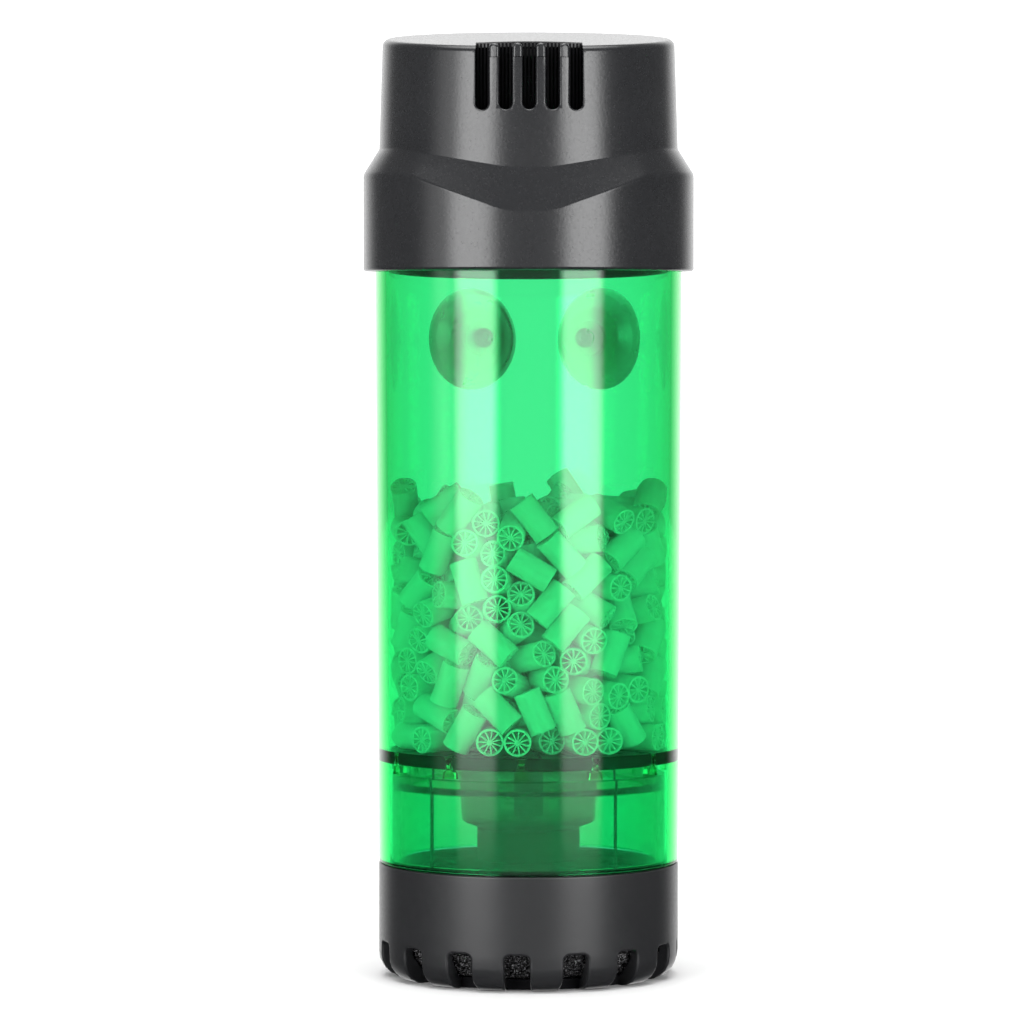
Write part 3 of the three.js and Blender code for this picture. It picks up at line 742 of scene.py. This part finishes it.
def make_deck():
    skirt = 1.6
    # The deck takes the darker, barely reflecting plastic: painted shade under the divider.
    deck = revolved("deck_plate", [
        [PIPE_BORE_R, DECK_TOP - 2, 0.2], [DECK_R - skirt, DECK_TOP - 2, 0.3],
        [DECK_R - skirt, DECK_BOTTOM, 0.2], [DECK_R, DECK_BOTTOM, 0.2], [DECK_R, DECK_TOP, 0.5],
        [PIPE_BORE_R, DECK_TOP, 0.2]], PAINTED_SHADE, longest=3)
    hole = revolved("cutter", [
        [0, DECK_BOTTOM, 0], [3.2, DECK_BOTTOM, 0], [3.2, DECK_TOP + 2, 0], [0, DECK_TOP + 2, 0]], None, 40)
    hole.data.transform(Matrix.Translation((0, -18.5 * MM, 0)))
    combined(deck, ringed(hole, [45 * (i + 0.5) for i in range(8)]), "DIFFERENCE")
    finished(deck, "base", "inner_plastic", "base_deck")


def make_hub():
    """Stem, smoke-clear cup and air stone of the diffuser."""
    # The stem takes the darker plastic: painted shade inside the cup.
    stem = revolved("hub_stem", [
        [STEM_R - 1.4, STEM_BOTTOM, 0.2], [STEM_R, STEM_BOTTOM, 0.3], [STEM_R, STEM_TOP, 0.4],
        [PIPE_BORE_R, STEM_TOP, 0.2], [PIPE_BORE_R, STEM_TOP - 1.4, 0.2],
        [STEM_R - 1.4, STEM_TOP - 1.4, 0.5]], PAINTED_SHADE, 96)
    finished(stem, "base", "inner_plastic", "diffuser_stem")
    cup = revolved("hub_cup", [
        [PIPE_BORE_R, CUP_BOTTOM, 0.2], [CUP_R - 3.2, CUP_BOTTOM, 0.5], [CUP_R - 0.6, CUP_BOTTOM + 1.1, 0.9],
        [CUP_R, CUP_TOP, 0.4], [CUP_R - 1.2, CUP_TOP, 0.4], [CUP_R - 1.7, CUP_BOTTOM + 1.9, 0.8],
        [CUP_R - 3.4, CUP_BOTTOM + 1.2, 0.5], [PIPE_BORE_R, CUP_BOTTOM + 1.2, 0.2]], DARK_SMOKE, 128)
    finished(cup, "base", "smoke_plastic", "diffuser_cup")
    stone = revolved("bubble_stone", [
        [0, STONE_BOTTOM, 0], [STONE_R, STONE_BOTTOM, 0.4], [STONE_R, STONE_TOP, 0.8], [0, STONE_TOP, 0]],
        STONE, 64, longest=1)
    finished(stone, "base", "porous_stone", "air_stone")


def make_air_inlet():
    low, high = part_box("air_barb")
    start, end = low.y / MM, high.y / MM
    barb_z = middle_z("air_barb")
    stub = 2.2
    rings = []
    for back in (end - 6.6, end - 3.8):
        rings += [[stub, back, 0.1], [2.9, back, 0.15], [stub, back + 2.8, 0.1]]
    barb = revolved("air_nozzle", [
        [1.2, start, 0.2], [stub, start, 0.3], [stub, start + 6.7, 0.1], [3.6, start + 6.7, 0.3],
        [3.6, start + 8.0, 0.3], *rings, [stub, end, 0.2], [1.2, end, 0.2]], BLACK, 64)
    finished(lying_along_y(barb, barb_z), "base", "black_plastic", "air_barb")
    low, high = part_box("barb_grommet")
    inner, outer = low.y / MM, high.y / MM
    grommet = revolved("inlet_grommet", [
        [2.5, inner, 0.2], [4.0, inner, 0.3], [4.0, inner + 0.7, 0.2], [3.3, inner + 0.7, 0.1],
        [3.3, outer - 1, 0.1], [4.0, outer - 1, 0.2], [4.0, outer, 0.4], [2.5, outer, 0.3]], RUBBER, 64)
    finished(lying_along_y(grommet, barb_z), "base", "black_rubber", "barb_grommet")
    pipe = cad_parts["air_pipe"]
    pipe.data.materials.clear()
    pipe.data.materials.append(INNER)
    shade(pipe, 40)


def make_gaskets():
    for node, body in (("base_gasket", "base_seal"), ("head_gasket", "head_seal")):
        outer, low, high = span(node)
        inner = outer - (1.0 if node == "base_gasket" else 1.6)
        seal = revolved(node.replace("gasket", "seal_ring"), [
            [inner, low, 0.4], [outer, low, 0.4], [outer, high, 0.4], [inner, high, 0.4]], RUBBER)
        finished(seal, body, "black_rubber", node)


# ---------------------------------------------------------------- tube


def tube_radius(z):
    share = (z - BASE_TOP) / (TAPER_TOP - BASE_TOP)
    return TUBE_FOOT_R + (TUBE_R - TUBE_FOOT_R) * share


def divider_lug():
    """Lug on the tube's bore: a flared foot below the divider, a narrow key through its notch."""
    foot_z, top = LUG_TOP - LUG_HEIGHT, DIVIDER_TOP - 0.2
    half = [(1.4, foot_z), (1.15, LUG_TOP - 0.3), (0.45, LUG_TOP + 0.1), (0.4, LUG_TOP + 1.4),
            (0.7, top)]
    outline = half + [(-x, z) for x, z in reversed(half)]
    back = -tube_radius(LUG_TOP) + TUBE_WALL
    return lofted("lug", [[(x, back + y, z) for x, z in outline] for y in (-0.2, 1.2)])


def make_tube():
    foot = BASE_TOP + 0.3
    inner_foot = tube_radius(foot) - TUBE_WALL
    inner_top = TUBE_R - TUBE_WALL
    spigot_r = 28.4
    shell = revolved("clear_tube", [
        [inner_foot, TUBE_BOTTOM, 0.2], [spigot_r, TUBE_BOTTOM, 0.3], [spigot_r, foot, 0],
        [tube_radius(foot), foot, 0.15], [TUBE_R, TAPER_TOP, 3], [TUBE_R, TUBE_TOP, 0.4],
        [inner_top, TUBE_TOP, 0.4], [inner_top, TAPER_TOP, 3],
        [inner_foot, foot, 0]],
        GREEN, segments=256, longest=4)
    combined(shell, ringed(divider_lug(), [30 * i for i in range(12)]), "UNION")
    hole_z = middle_z("suction_cup_left")
    holes = []
    for side in (-1, 1):
        hole = revolved("cutter", [[0, 25, 0], [1.5, 25, 0], [1.5, 34, 0], [0, 34, 0]], None, 40)
        holes.append(turned(lying_along_y(hole, hole_z), CUP_AZIMUTH * side))
    combined(shell, holes, "DIFFERENCE", sharp=32)
    finished(turned(shell, TUBE_TURN), "column", "green_tube", "tube")


def make_divider():
    plate_bottom = DIVIDER_TOP - 1.2
    rim_bottom = DIVIDER_TOP - 2.4
    bore = tube_radius(DIVIDER_TOP) - TUBE_WALL
    rim_r = bore + 0.1
    plate = revolved("divider", [
        [0, plate_bottom, 0], [RIM_R - 1.5, plate_bottom, 0.2], [RIM_R - 1.5, rim_bottom, 0.3],
        [rim_r, rim_bottom, 0.15], [rim_r, DIVIDER_TOP, 0.15], [0, DIVIDER_TOP, 0]],
        INNER, 240, longest=3)
    cutters = []
    slot_end = 23.5
    for i in range(24):
        start = 9 if i % 2 else 14
        slot = block((1.4, slot_end - start, 6), (0, -(slot_end + start) / 2, plate_bottom))
        cutters.append(turned(slot, 15 * (i + 0.5)))
    for i in range(12):
        waist = [(-1.0, rim_bottom - 1), (-1.0, rim_bottom + 0.2), (-0.6, rim_bottom + 1.3),
                 (-1.0, DIVIDER_TOP - 0.2), (-1.0, DIVIDER_TOP + 1)]
        outline = waist + [(-x, z) for x, z in reversed(waist)]
        notch = lofted("cutter", [[(x, -RIM_R + d, z) for x, z in outline] for d in (-1.0, 2.8)])
        cutters.append(turned(notch, 30 * i))
    combined(plate, cutters, "DIFFERENCE")
    sleeve_bore = span("chamber_sleeve")[0] - SLEEVE_WALL
    leg_top, leg_bottom = plate_bottom + 0.5, BASE_TOP + 0.65
    leg_size = (0.42, 0.5, leg_top - leg_bottom)
    leg = block(leg_size, (0, 0.6 - sleeve_bore, (leg_top + leg_bottom) / 2), 0.1)
    combined(plate, ringed(leg, LEG_ANGLES), "UNION", sharp=32)
    finished(turned(plate, TUBE_TURN), "column", "inner_plastic", "divider_plate")


def make_sleeve():
    outer, bottom = span("chamber_sleeve")[:2]
    inner, neck_inner = outer - SLEEVE_WALL, NECK_R - NECK_WALL
    sleeve = revolved("clear_sleeve", [
        [inner, bottom, 0], [outer, bottom, 0], [outer, SLEEVE_TOP, 0.1], [NECK_R, SLEEVE_TOP, 0.1],
        [NECK_R, NECK_TOP, 0.1], [neck_inner, NECK_TOP, 0.1], [neck_inner, NECK_BOTTOM, 0.6],
        [inner, NECK_BOTTOM - 0.6, 0.6]], SMOKE, 200, longest=4)
    finished(turned(sleeve, TUBE_TURN), "column", "smoke_plastic", "chamber_sleeve")


def make_suction_cups():
    """Two cups against the tube's back, each with a barbed stud through the wall."""
    wall_outer = tube_radius(127)
    wall_inner = wall_outer - TUBE_WALL
    face = 38.0
    for side, name, body in ((1, "suction_cup_left", "cup_left"), (-1, "suction_cup_right", "cup_right")):
        low, high = span(name)[1:]
        rim_r = (high - low) / 2
        cup = revolved(name.replace("cup", "pad"), [
            [0, wall_inner - 1.1, 0], [0.7, wall_inner - 1.1, 0.1], [0.9, wall_inner - 1.6, 0.1],
            [1.3, wall_inner - 1.6, 0.2], [2.0, wall_inner - 0.9, 0.3], [2.0, wall_inner - 0.5, 0.2],
            [1.15, wall_inner - 0.5, 0.2], [1.15, wall_outer + 0.3, 0.2], [3.6, wall_outer + 0.3, 0.3],
            [3.7, wall_outer + 1.5, 0.8], [6.2, wall_outer + 2.4, 2.0], [9.2, wall_outer + 5.2, 2.0],
            [rim_r, face - 0.5, 0.2], [rim_r, face, 0.2], [rim_r - 1.2, face, 0.2],
            [8.2, face - 1.5, 1.5], [5.0, face - 3.3, 2.5], [0, face - 3.9, 0]], CLEAR_RUBBER, 128)
        turned(lying_along_y(cup, middle_z(name)), CUP_AZIMUTH * side + TUBE_TURN)
        finished(cup, body, "clear_rubber", name)


# ---------------------------------------------------------------- media


def wheel_outline(spokes, rim_steps, rim_r, hub_r, web):
    """The cells between a wheel's spokes as (radius, angle): rim_steps on the rim, two on the hub."""
    outline = []
    pitch = 360 / spokes
    rim_gap = math.degrees(web / 2 / rim_r)
    hub_gap = min(math.degrees(web / 2 / hub_r), pitch * 0.42)
    for i in range(spokes):
        start = 360 * i / spokes
        outline += [(rim_r, start + t) for t in np.linspace(rim_gap, pitch - rim_gap, rim_steps)]
        outline += [(hub_r, start + t) for t in (pitch - hub_gap, hub_gap)]
    return outline


def wheel_mesh(spokes, rim_steps):
    """One media wheel along Z, centred: a thin rim, a small hub and radial spokes."""
    wall, hub_r, web = 0.38, 0.42, 0.26
    outline = wheel_outline(spokes, rim_steps, WHEEL_R - wall, hub_r, web)
    cell_size = rim_steps + 2
    rim_count = spokes * rim_steps
    inner_rim = [k // rim_steps * cell_size + k % rim_steps for k in range(rim_count)]
    section = outline + [(WHEEL_R, outline[i][1]) for i in inner_rim]
    layer = len(section)
    verts = []
    for z in (-WHEEL_LENGTH / 2, WHEEL_LENGTH / 2):
        for r, a in section:
            verts.append((r * math.cos(math.radians(a)), r * math.sin(math.radians(a)), z))
    faces = []
    for start in range(0, len(outline), cell_size):
        cell = list(range(start, start + cell_size))
        faces += [(a, b, b + layer, a + layer) for a, b in zip(cell, cell[1:] + cell[:1])]
    ends = []
    for k in range(rim_count):
        following = (k + 1) % rim_count
        a, b = len(outline) + k, len(outline) + following
        faces.append((a, b, b + layer, a + layer))
        ends.append((a, b, inner_rim[following], inner_rim[k]))
    hub_ring = []
    for start in range(0, len(outline), cell_size):
        after = (start + cell_size) % len(outline)
        ends.append((start + rim_steps - 1, after, after + rim_steps + 1, start + rim_steps))
        hub_ring += [start + rim_steps + 1, start + rim_steps]
    for face in ends + [tuple(hub_ring)]:
        faces.append(face)
        faces.append(tuple(i + layer for i in face))
    return verts, faces


def settling_body(obj, kind, shape):
    """Makes a rigid body of an object."""
    bpy.context.scene.rigidbody_world.collection.objects.link(obj)
    body = obj.rigid_body
    body.type = kind
    body.collision_shape = shape
    body.friction = 0.35
    body.restitution = 0.05
    body.use_margin = True
    body.collision_margin = 0.002


def settling_tub(floor, radius):
    """Walls and ground that hold the wheels while they settle."""
    sides = 40
    grown = Matrix.Diagonal((SETTLE_SCALE / MM,) * 3 + (1,))
    wall_size = (2 * math.pi * radius / sides * 1.6, 8, 260)
    tub = []
    for i in range(sides):
        wall = block(wall_size, (0, -radius - 4, floor + 125))
        wall.data.transform(grown)
        tub.append(turned(wall, 360 * i / sides))
    ground = block((90, 90, 8), (0, 0, floor - 4))
    ground.data.transform(grown)
    tub.append(ground)
    for obj in tub:
        settling_body(obj, "PASSIVE", "CONVEX_HULL")
    return tub


def drum_mesh():
    """A plain drum of a wheel's size."""
    mesh = bpy.data.meshes.new("drum")
    work = bmesh.new()
    radius = WHEEL_R * SETTLE_SCALE
    bmesh.ops.create_cone(work, cap_ends=True, segments=16, radius1=radius, radius2=radius,
                          depth=WHEEL_LENGTH * SETTLE_SCALE)
    work.to_mesh(mesh)
    work.free()
    return mesh


def loose_drums(count, floor):
    """Drums above the floor in open layers of two rings, turned at random."""
    random = np.random.default_rng(SEED)
    mesh = drum_mesh()
    outer_count, inner_count = 12, 5
    drums = []
    for i in range(count):
        layer, slot = divmod(i, outer_count + inner_count)
        ring, share = 19.5, slot / outer_count
        if slot >= outer_count:
            ring, share = 8.5, (slot - outer_count) / inner_count
        angle = 2 * math.pi * share + layer * 0.7
        drum = bpy.data.objects.new("drum", mesh)
        bpy.context.scene.collection.objects.link(drum)
        place = Vector((ring * math.sin(angle), ring * math.cos(angle), floor + 6 + layer * 9.2))
        drum.location = place * SETTLE_SCALE
        drum.rotation_mode = "QUATERNION"
        drum.rotation_quaternion = random.normal(size=4)
        drum.rotation_quaternion.normalize()
        settling_body(drum, "ACTIVE", "CYLINDER")
        drum.rigid_body.mass = 0.2
        drum.rigid_body.linear_damping = 0.1
        drum.rigid_body.angular_damping = 0.25
        drums.append(drum)
    return drums


def settle(count, floor, radius):
    """Drops wheels into the tube and returns their resting places as (centre, rotation).
    The bodies are a hundred times life size, so that they settle cleanly."""
    scene = bpy.context.scene
    bpy.ops.rigidbody.world_add()
    world = scene.rigidbody_world
    world.substeps_per_frame = 12
    world.solver_iterations = 20
    frames = 150
    world.point_cache.frame_end = frames
    world.collection = bpy.data.collections.new("settling")
    tub = settling_tub(floor, radius)
    drums = loose_drums(count, floor)
    for number in range(1, frames + 1):
        scene.frame_set(number)
    settled = bpy.context.evaluated_depsgraph_get()
    places = []
    for drum in drums:
        matrix = drum.evaluated_get(settled).matrix_world
        places.append((matrix.translation / SETTLE_SCALE, matrix.to_quaternion()))
    scene.frame_set(1)
    for obj in drums + tub:
        bpy.data.objects.remove(obj)
    bpy.ops.rigidbody.world_remove()
    return places


def make_media():
    """The bed of loose wheels, from the divider up to about the height of the CAD bed."""
    radius = tube_radius(MEDIA_BOTTOM) - TUBE_WALL - 0.25
    count = MEDIA_COUNT
    places = settle(count, MEDIA_BOTTOM, radius)
    fine, plain = wheel_mesh(spokes=11, rim_steps=4), wheel_mesh(spokes=6, rim_steps=4)
    all_verts, all_faces = [], []
    for centre, rotation in places:
        distance = math.hypot(centre.x, centre.y)
        if distance > radius - 1.5 or not MEDIA_BOTTOM < centre.z < BED_TOP + 12:
            continue
        outer = distance > 17 or centre.z > BED_TOP - 8
        verts, faces = fine if outer else plain
        first = len(all_verts)
        all_verts.extend((rotation @ Vector(v) + centre)[:] for v in verts)
        all_faces.extend(tuple(i + first for i in f) for f in faces)
    mesh = bpy.data.meshes.new("media_wheels")
    mesh.from_pydata((np.array(all_verts) * MM).tolist(), [], all_faces)
    bed = bpy.data.objects.new("media_wheels", mesh)
    bpy.context.scene.collection.objects.link(bed)
    mesh.materials.append(MEDIA)
    work = bmesh.new()
    work.from_mesh(mesh)
    bmesh.ops.recalc_face_normals(work, faces=work.faces)
    work.to_mesh(mesh)
    work.free()
    shade(bed, 40)
    top_wheels = sorted(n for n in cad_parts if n.startswith("media_wheel_"))
    finished(bed, "column", "media_plastic", "media_bed", *top_wheels, flat=False)


# ---------------------------------------------------------------- studio


def math_node(tree, operation, *values):
    """The result of a math node; each value is a socket or a number."""
    node = tree.nodes.new("ShaderNodeMath")
    node.operation = operation
    for socket, value in zip(node.inputs, values):
        if isinstance(value, bpy.types.NodeSocket):
            tree.links.new(value, socket)
        else:
            socket.default_value = value
    return node.outputs[0]


def smooth_ramp(tree, value, start, end, low=0.0, high=1.0):
    """Eases from low to high while a value goes from start to end."""
    node = tree.nodes.new("ShaderNodeMapRange")
    node.interpolation_type = "SMOOTHSTEP"
    node.inputs["From Min"].default_value = start
    node.inputs["From Max"].default_value = end
    node.inputs["To Min"].default_value = low
    node.inputs["To Max"].default_value = high
    tree.links.new(value, node.inputs["Value"])
    return node.outputs["Result"]


def make_camera():
    data = bpy.data.cameras.new("camera")
    data.sensor_width = 36
    data.lens = 131.8
    camera = bpy.data.objects.new("camera", data)
    bpy.context.scene.collection.objects.link(camera)
    camera.location = (-0.00328, -0.7444, 0.1046)
    camera.rotation_euler = (math.radians(90 - 0.993), 0, 0)
    bpy.context.scene.camera = camera


def soft_panel(name, azimuth, width, radiance, fade_x=0.22):
    """A tall softbox: an area light whose edges fade, as a diffuser's do."""
    height, z = 1.05, 0.355
    light = bpy.data.lights.new(name, "AREA")
    light.shape = "RECTANGLE"
    light.size, light.size_y = width, height
    light.energy = radiance * math.pi * width * height
    light.use_nodes = True
    tree = light.node_tree
    emission = tree.nodes["Emission"]
    geometry = tree.nodes.new("ShaderNodeNewGeometry")
    parts = tree.nodes.new("ShaderNodeSeparateXYZ")
    tree.links.new(geometry.outputs["Parametric"], parts.inputs["Vector"])
    fades = []
    for axis, edge in (("X", fade_x), ("Y", 0.2)):
        from_edge = math_node(tree, "PINGPONG", parts.outputs[axis], 0.5)
        fades.append(smooth_ramp(tree, from_edge, 0, edge))
    tree.links.new(math_node(tree, "MULTIPLY", *fades), emission.inputs["Strength"])
    panel = bpy.data.objects.new(name, light)
    bpy.context.scene.collection.objects.link(panel)
    panel.visible_camera = False
    distance = 1.3
    turn = math.radians(azimuth)
    panel.location = (distance * math.sin(turn), -distance * math.cos(turn), z)
    inwards = Vector((0, 0, z)) - panel.location
    panel.rotation_euler = inwards.to_track_quat("-Z", "Y").to_euler()


# Axis of the direction, where a ramp starts and ends along it, radiance before and after:
# the white wall behind, the white ceiling, and the dim room in front.
WALL_GLARE = 1.6          # the wall behind, beside the white that shows through the tube
WORLD_RAMPS = (
    ("Y", 0.62, 0.97, 0.02, WALL_GLARE),
    ("Z", 0.78, 0.98, 0.02, 5.0),
    ("Z", -0.12, 0.03, 0.02, 0.16),
    ("Y", -0.86, -0.97, 0.02, 0.38),
)


def make_world():
    """White behind the object and above it, dim in front, as in a small white studio."""
    world = bpy.data.worlds.new("studio")
    bpy.context.scene.world = world
    world.use_nodes = True
    tree = world.node_tree
    background = tree.nodes["Background"]
    coordinates = tree.nodes.new("ShaderNodeTexCoord")
    parts = tree.nodes.new("ShaderNodeSeparateXYZ")
    tree.links.new(coordinates.outputs["Generated"], parts.inputs["Vector"])
    ramps = [smooth_ramp(tree, parts.outputs[axis], *limits) for axis, *limits in WORLD_RAMPS]
    path = tree.nodes.new("ShaderNodeLightPath")
    through_clear = path.outputs["Is Transmission Ray"]
    glare_share = math_node(tree, "MULTIPLY_ADD", through_clear, 1 / WALL_GLARE - 1, 1.0)
    lit = math_node(tree, "MULTIPLY", ramps[0], glare_share)
    for ramp in ramps[1:]:
        lit = math_node(tree, "MAXIMUM", lit, ramp)
    behind = smooth_ramp(tree, parts.outputs["Y"], 0.5, 0.95)
    white_behind = math_node(tree, "MULTIPLY", through_clear, behind)
    seen = math_node(tree, "MAXIMUM", path.outputs["Is Camera Ray"], white_behind)
    background.inputs["Color"].default_value = (1, 1, 1, 1)
    tree.links.new(math_node(tree, "MAXIMUM", lit, seen), background.inputs["Strength"])


def make_floor():
    """Pale floor that the filter stands on."""
    look = Look("pale_floor", (0.9, 0.9, 0.9), 0.7)
    look.colour(look.noise(220, 2), (0.88, 0.88, 0.88), (0.92, 0.92, 0.92))
    half = 3000
    corners = [(-half, -half, 0), (half, -half, 0), (half, half, 0), (-half, half, 0)]
    floor = new_object("floor", corners, [(0, 1, 2, 3)], look.material)
    floor.visible_glossy = False


def make_studio():
    make_floor()
    make_world()
    soft_panel("softbox_left", -40, 0.90, 6.8)
    soft_panel("softbox_right", 40, 0.90, 6.8)
    soft_panel("fill_left", -66, 0.70, 1.3, fade_x=0.5)
    scene = bpy.context.scene
    scene.view_settings.view_transform = "Standard"
    scene.cycles.max_bounces = 20
    scene.cycles.transmission_bounces = 20
    scene.cycles.diffuse_bounces = 10


make_camera()
make_studio()
make_tube()
make_divider()
make_sleeve()
make_media()
make_suction_cups()
make_base()
make_sponge()
make_deck()
make_hub()
make_air_inlet()
make_gaskets()
make_head()
make_outlet_comb()
make_head_liner()
